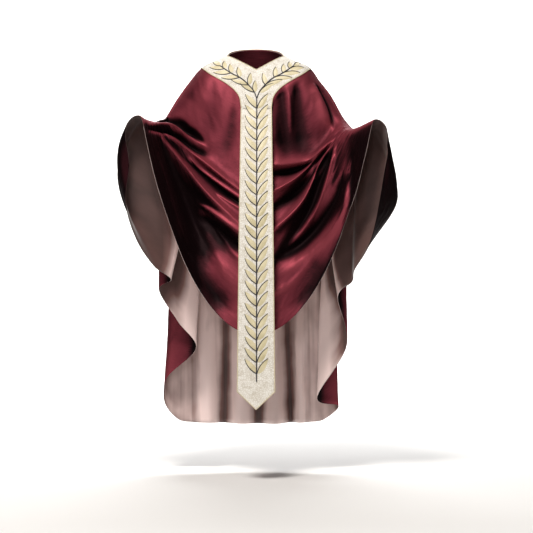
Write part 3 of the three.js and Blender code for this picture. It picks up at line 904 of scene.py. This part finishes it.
# The facing inside the back of the neck: a shaped strip of the wine taffeta over the lining, which
# shows above the front of the neck opening.
FACING_LEVEL = 0.13
FACING_ROWS = 12
FACING_COLUMNS = 90
FACING_WALL = 0.9
FACING_AT = LINING_AT + LINING_WALL + SEWN_GAP
# An even painted shade for the facing, a little darker than the lit silk.
FACING_PAINTED_SHADE = 4.0
across, level = np.meshgrid(
    np.linspace(0, 1, FACING_COLUMNS + 1), np.linspace(0, FACING_LEVEL, FACING_ROWS + 1)
)
facing_grid = nape_points(across, level)
facing_faces = grid_faces(*facing_grid.shape[:2], flip=True)
facing_points = facing_grid.reshape(-1, 3)
facing_points = facing_points - point_normals(facing_points, facing_faces) * FACING_AT
facing = cloth_object(
    "neck_facing_of_taffeta",
    facing_points,
    facing_faces,
    cloth_uv(facing_grid),
    FACING_WALL,
    taffeta,
    np.full(len(facing_points), FACING_PAINTED_SHADE),
)
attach(facing, "root")
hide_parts("back_neck_facing")


# The orphrey: stiffened ivory brocade in the shape of a Y. The yoke is sewn down round the neck; the
# band is free below it, hangs plumb in front of the folds, and ends in a point past the hem.
BAND_HANG = named(
    "z y",
    [
        (-1210, -262),
        (-960, -256),
        (-840, -250),
        (-720, -243),
        (-600, -231),
        (-490, -214),
        (-400, -192),
        (-320, -168),
        (-240, -139),
        (-185, -115),
    ],
)
BAND_HALF_END = 63.0
BAND_CORNER = -1150.0
BAND_TIP = -1210.0
BROCADE_WALL = 1.3
BROCADE_AT = 0.5
YOKE_ROWS = 22
YOKE_SIDE_COLUMNS = 70
BAND_COLUMNS = 24
BAND_ROWS = 210
NAPE_COLUMNS = 90
HALVINGS = 34
LEVEL_HALVINGS = 30
YOKE_LEVELS = (0.05, 0.45)
BAND_LEVELS = (0.12, 0.4)
BAND_SIDES = (0.02, 0.6)
DENSER_AT_BAND = 1.3


def crossing(low, high, value):
    """Where a falling function crosses zero, for many numbers at once."""
    low, high = low.copy(), high.copy()
    for _ in range(HALVINGS):
        middle = (low + high) / 2
        above = value(middle) > 0
        low, high = np.where(above, middle, low), np.where(above, high, middle)
    return (low + high) / 2


def yoke_level(u):
    """The level of the yoke's lower edge."""
    low, high = (np.full_like(u, level) for level in YOKE_LEVELS)
    return crossing(low, high, lambda level: yoke_height(front_form(u, level)))


def band_column(sign):
    """The column and level at which the band's edge leaves the yoke."""
    low, high = BAND_LEVELS
    for _ in range(LEVEL_HALVINGS):
        level = np.array([(low + high) / 2])
        u = crossing(
            np.array(BAND_SIDES[:1]),
            np.array(BAND_SIDES[1:]),
            lambda u: BAND_HALF_TOP - np.abs(front_form(u * sign, level)[..., 0]),
        )
        if front_form(u * sign, level)[0, 2] > BAND_TOP:
            low = level[0]
        else:
            high = level[0]
    return u[0] * sign, level[0]


(left_u, left_level), (right_u, right_level) = band_column(-1.0), band_column(1.0)
spread = (1 - np.arange(YOKE_SIDE_COLUMNS) / YOKE_SIDE_COLUMNS) ** DENSER_AT_BAND
left_side = left_u + (-1 - left_u) * spread
right_side = (right_u + (1 - right_u) * spread)[::-1]
share = np.linspace(0, 1, BAND_COLUMNS + 1)
yoke_u = np.concatenate([left_side, left_u + (right_u - left_u) * share, right_side])
yoke_bottom = np.concatenate(
    [yoke_level(left_side), left_level + (right_level - left_level) * share, yoke_level(right_side)]
)
rows = np.linspace(0, 1, YOKE_ROWS + 1)[:, None]
yoke_grid = front_form(np.broadcast_to(yoke_u, (YOKE_ROWS + 1, len(yoke_u))), rows * yoke_bottom)
nape_share = np.linspace(1, 0, NAPE_COLUMNS + 1)[1:-1]
nape_bottom = yoke_bottom[0] + (yoke_bottom[-1] - yoke_bottom[0]) * nape_share
yoke_nape = nape_points(
    np.broadcast_to(nape_share, (YOKE_ROWS + 1, len(nape_share))), rows * nape_bottom
)
yoke_ring = np.concatenate([yoke_grid, yoke_nape], axis=1)
ring_count = yoke_ring.shape[1]
band_across = np.linspace(-1, 1, BAND_COLUMNS + 1)[None, :]
band_down = (np.arange(1, BAND_ROWS + 1) / BAND_ROWS)[:, None]
band_end = BAND_TIP + (BAND_CORNER - BAND_TIP) * np.abs(band_across)
band_z = BAND_TOP + (band_end - BAND_TOP) * band_down
band_grid = np.stack(
    [
        band_across * (BAND_HALF_TOP + (BAND_HALF_END - BAND_HALF_TOP) * band_down),
        follow(BAND_HANG, "z", "y", band_z),
        band_z,
    ],
    axis=-1,
)
ring_faces = grid_faces(YOKE_ROWS + 1, ring_count, closed=True)
ring_points = yoke_ring.reshape(-1, 3)
top_row = YOKE_ROWS * ring_count + YOKE_SIDE_COLUMNS + np.arange(BAND_COLUMNS + 1)
band_index = np.concatenate([top_row, len(ring_points) + np.arange(band_grid[..., 0].size)])
orphrey_points = np.concatenate([ring_points, band_grid.reshape(-1, 3)])
orphrey_faces = np.concatenate([ring_faces, band_index[grid_faces(BAND_ROWS + 1, BAND_COLUMNS + 1)]])
orphrey_outward = point_normals(orphrey_points, orphrey_faces)
orphrey_outer = orphrey_points + orphrey_outward * (BROCADE_AT + BROCADE_WALL)


# Brocade: ivory silk with a small woven figure that shines a little more than its ground. The figure's
# repeat is 11 mm; its threads, 0.3 mm apart, are drawn at 1 mm so that they show.
def brocade_material():
    material, tree, shader = new_material(
        "ivory figured brocade", {"Roughness": 0.5, "Sheen Weight": 0.2}
    )
    place = add_node(tree, "ShaderNodeTexCoord").outputs["Object"]
    figure = add_node(
        tree,
        "ShaderNodeTexVoronoi",
        {"feature": "DISTANCE_TO_EDGE"},
        {"Vector": place, "Scale": 150.0, "Randomness": 0.8},
    )
    sharp = spread_out(tree, figure.outputs["Distance"], 0.02, 0.16)
    clouds = pattern(tree, "Noise", place, {}, {"Scale": 55.0, "Detail": 6.0})
    mixed = multiply_add(tree, sharp, 0.4, clouds)
    ramp_colour(tree, shader, mixed, [(0.4, "CDC4B3"), (0.95, "F0ECE3")])
    threads = pattern(
        tree,
        "Wave",
        place,
        {"bands_direction": "Z"},
        {"Scale": 300.0, "Distortion": 1.5, "Detail": 2.0},
    )
    relief = multiply_add(tree, mixed, 1.6, threads)
    tree.links.new(bumped(tree, relief, 0.35, 0.0008), shader.inputs["Normal"])
    return material


brocade = brocade_material()
orphrey = cloth_object(
    "y_orphrey_of_brocade",
    orphrey_outer,
    orphrey_faces,
    orphrey_outer[:, [0, 2]],
    BROCADE_WALL,
    brocade,
    np.zeros(len(orphrey_outer)),
)
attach(orphrey, "root")
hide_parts("y_orphrey")


# The edging: a thin twisted cord of cream and gold, whose turns show as fine stripes. It is sewn along
# every edge of the orphrey, once round the neck and once round the outside of yoke and band.
EDGING_RADIUS = 1.5
gold_cord, cord_tree, cord_shader = new_material("cream and gold twisted cord", {"Roughness": 0.45})
cord_place = add_node(cord_tree, "ShaderNodeTexCoord").outputs["Object"]
twist = pattern(
    cord_tree, "Wave", cord_place, {"bands_direction": "DIAGONAL"}, {"Scale": 160.0, "Distortion": 0.5}
)
ramp_colour(cord_tree, cord_shader, twist, [(0.0, "B9A77C"), (1.0, "EDE3C6")])


def tube_along(name, points, radius, material, closed=False, taper=None, sides=2):
    """A round cord along points in millimetres, made as a curve and turned to a mesh."""
    data = bpy.data.curves.new(name, "CURVE")
    data.dimensions = "3D"
    data.bevel_depth = radius * MM
    data.bevel_resolution = sides
    data.use_fill_caps = not closed
    line = data.splines.new("POLY")
    line.points.add(len(points) - 1)
    for k, point in enumerate(points):
        line.points[k].co = (*(point * MM), 1)
        line.points[k].radius = 1 if taper is None else taper[k]
    line.use_cyclic_u = closed
    piece = bpy.data.objects.new(name, data)
    bpy.context.collection.objects.link(piece)
    bpy.ops.object.select_all(action="DESELECT")
    piece.select_set(True)
    bpy.context.view_layer.objects.active = piece
    bpy.ops.object.convert(target="MESH")
    piece = bpy.context.object
    piece.data.materials.clear()
    piece.data.materials.append(material)
    return piece


def joined(name, parts):
    """Several meshes made into one piece."""
    bpy.ops.object.select_all(action="DESELECT")
    for part in parts:
        part.select_set(True)
    bpy.context.view_layer.objects.active = parts[0]
    bpy.ops.object.join()
    piece = bpy.context.object
    piece.name = piece.data.name = name
    bpy.ops.object.shade_smooth()
    return piece


ring_outer = orphrey_outer[: len(ring_points)].reshape(YOKE_ROWS + 1, ring_count, 3)
band_outer = orphrey_outer[len(ring_points) :].reshape(BAND_ROWS, BAND_COLUMNS + 1, 3)
neck_edge = ring_outer[0]
outline = np.concatenate(
    [
        band_outer[::-1, 0],
        ring_outer[-1, : YOKE_SIDE_COLUMNS + 1][::-1],
        ring_outer[-1, YOKE_SIDE_COLUMNS + BAND_COLUMNS :][::-1],
        band_outer[:, -1],
        band_outer[-1, 1:-1][::-1],
    ]
)
edging = joined(
    "orphrey_edging_cord",
    [
        tube_along("neck_cord", neck_edge, EDGING_RADIUS, gold_cord, closed=True),
        tube_along("outline_cord", outline, EDGING_RADIUS, gold_cord, closed=True),
    ],
)
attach(edging, "root")


# The embroidery: one branch of leaves up the middle of the band, which parts below the neck and
# follows the yoke to both shoulders. Each leaf is a padded filling of pale gold silk with a dark
# outline couched along one side of it, and the branch itself is a dark couched cord.
orphrey_tree = BVHTree.FromPolygons((orphrey_outer * MM).tolist(), orphrey_faces.tolist())
FAR_IN_FRONT = -1.0
CLOSE_IN_FRONT = -0.05


def on_orphrey(flat, lift):
    """Points of the orphrey behind flat ones seen from the front, moved out by lift, in millimetres."""
    found = []
    for (x, z), height in zip(flat, np.broadcast_to(lift, len(flat))):
        start = Vector((x * MM, FAR_IN_FRONT, z * MM))
        place, normal, _, _ = orphrey_tree.ray_cast(start, Vector((0, 1, 0)))
        if place is None:
            beside = Vector((x * MM, CLOSE_IN_FRONT, z * MM))
            place, normal, _, _ = orphrey_tree.find_nearest(beside)
        found.append(np.array(place) / MM + np.array(normal) * height)
    return np.array(found)


# Silk threads laid side by side catch the light in fine slanting stripes.
def thread_material(name, dark, light, rough):
    material, tree, shader = new_material(name, {"Roughness": rough, "Sheen Weight": 0.2})
    place = add_node(tree, "ShaderNodeTexCoord").outputs["Object"]
    stitches = pattern(
        tree,
        "Wave",
        place,
        {"bands_direction": "DIAGONAL"},
        {"Scale": 190.0, "Distortion": 2.0, "Detail": 2.0},
    )
    tone = pattern(tree, "Noise", place, {}, {"Scale": 24.0})
    ramp_colour(tree, shader, multiply_add(tree, stitches, 0.35, tone), [(0.35, dark), (0.95, light)])
    tree.links.new(bumped(tree, stitches, 0.4, 0.0005), shader.inputs["Normal"])
    return material


leaf_silk = thread_material("pale gold satin stitch", "BDB086", "E6DAB6", 0.42)
line_silk = thread_material("charcoal couched cord", "17151A", "2E2A33", 0.5)

LEAF_STEPS = 12
LEAF_ROWS = 4
LEAF_BELLY = 18.0
LEAF_PAD = 1.2
LEAF_SKIN = 0.15
LEAF_ROUND = 0.8
BESIDE_LINE = 0.6
LINE_BOW = 6.5
LINE_RADIUS = 1.7
LINE_AT = LINE_RADIUS * 0.6
LINE_TIP = 0.6


def leaf(base, tip, belly):
    """A leaf between two places: its dark line bows to its left, its filling swells to the right."""
    base, tip = np.array(base, float), np.array(tip, float)
    along = tip - base
    left = np.array([-along[1], along[0]]) / np.linalg.norm(along)
    t = np.linspace(0, 1, LEAF_STEPS + 1)
    line = base + along * t[:, None] + left * (LINE_BOW * 4 * t * (1 - t))[:, None]
    swell = np.sin(math.pi * t**LEAF_ROUND) ** LEAF_ROUND
    share = np.linspace(0, 1, LEAF_ROWS + 1)[:, None]
    flat = line - left * (BESIDE_LINE + belly * share * swell)[..., None]
    pad = LEAF_SKIN + LEAF_PAD * np.sin(math.pi * share) * swell
    grid = on_orphrey(flat.reshape(-1, 2), pad.ravel())
    mesh = bpy.data.meshes.new("leaf")
    mesh.from_pydata((grid * MM).tolist(), [], grid_faces(LEAF_ROWS + 1, LEAF_STEPS + 1).tolist())
    mesh.materials.append(leaf_silk)
    filling = bpy.data.objects.new("leaf", mesh)
    bpy.context.collection.objects.link(filling)
    thin = np.linspace(1.0, LINE_TIP, LEAF_STEPS + 1)
    course = on_orphrey(line, LINE_AT)
    edge = tube_along("leaf_line", course, LINE_RADIUS, line_silk, taper=thin, sides=1)
    return filling, edge


STEM_X = 1.5
FORK_Z = -154.0
STEM_END_Z = -1117.0
STEM_RADIUS = 2.0
STEM_POINTS = 160
PAIRS = 25
FIRST_PAIR_Z = -187.0
LAST_PAIR_Z = -1089.0
LEFT_TIP = (-38.0, 48.0)
RIGHT_TIP = (40.0, 50.0)
BRANCH = [(0, -154), (10, -129), (27, -108), (52, -84), (80, -69), (104, -54), (127, -37)]
BRANCH_STEPS = 10
OUTER_TURN = math.radians(30)
INNER_TURN = math.radians(54)
BRANCH_LEAVES = named(
    "step outer inner",
    [
        (9, 58, 0),
        (21, 62, 43),
        (33, 62, 38),
        (44, 60, 33),
        (54, 50, 28),
    ],
)
OUTER_BELLY = 15.0
INNER_BELLY = 16.0
END_LENGTH = 34.0
FORK_LEAF = [(-8, FORK_Z + 22), (-4, FORK_Z + 64)]

made = []
for z in np.linspace(FIRST_PAIR_Z, LAST_PAIR_Z, PAIRS):
    made.append(leaf((0, z), (LEFT_TIP[0], z + LEFT_TIP[1]), LEAF_BELLY))
    made.append(leaf((2 * STEM_X, z), (RIGHT_TIP[0], z + RIGHT_TIP[1]), LEAF_BELLY))
made.append(leaf(*FORK_LEAF, INNER_BELLY))
stem_z = np.linspace(FORK_Z, STEM_END_Z, STEM_POINTS)
stems = [np.stack([np.full(STEM_POINTS, STEM_X), stem_z], axis=-1)]
for side in (-1, 1):
    branch = smooth_line(np.array(BRANCH, float), BRANCH_STEPS) * (side, 1) + (STEM_X, 0)
    stems.append(branch)
    for step, outer, inner in zip(*BRANCH_LEAVES.values()):
        at = int(step)
        along = branch[at + 2] - branch[at - 2]
        angle = math.atan2(along[1], along[0])
        for turn, length, belly in (
            (OUTER_TURN, outer, OUTER_BELLY),
            (-INNER_TURN, inner, INNER_BELLY),
        ):
            way = angle - side * turn
            if length:
                tip = branch[at] + length * np.array([math.cos(way), math.sin(way)])
                made.append(leaf(branch[at], tip, belly))
    onward = branch[-1] - branch[-3]
    end = branch[-1] + END_LENGTH * onward / np.linalg.norm(onward)
    made.append(leaf(branch[-1], end, INNER_BELLY))
fillings = [filling for filling, _ in made]
lines = [edge for _, edge in made]
for course in stems:
    raised = on_orphrey(course, LINE_RADIUS)
    lines.append(tube_along("stem", raised, STEM_RADIUS, line_silk, sides=1))

leaves = joined("embroidered_leaf_fillings", fillings)
outlines = joined("embroidered_dark_lines", lines)
for piece in (leaves, outlines):
    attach(piece, "root")
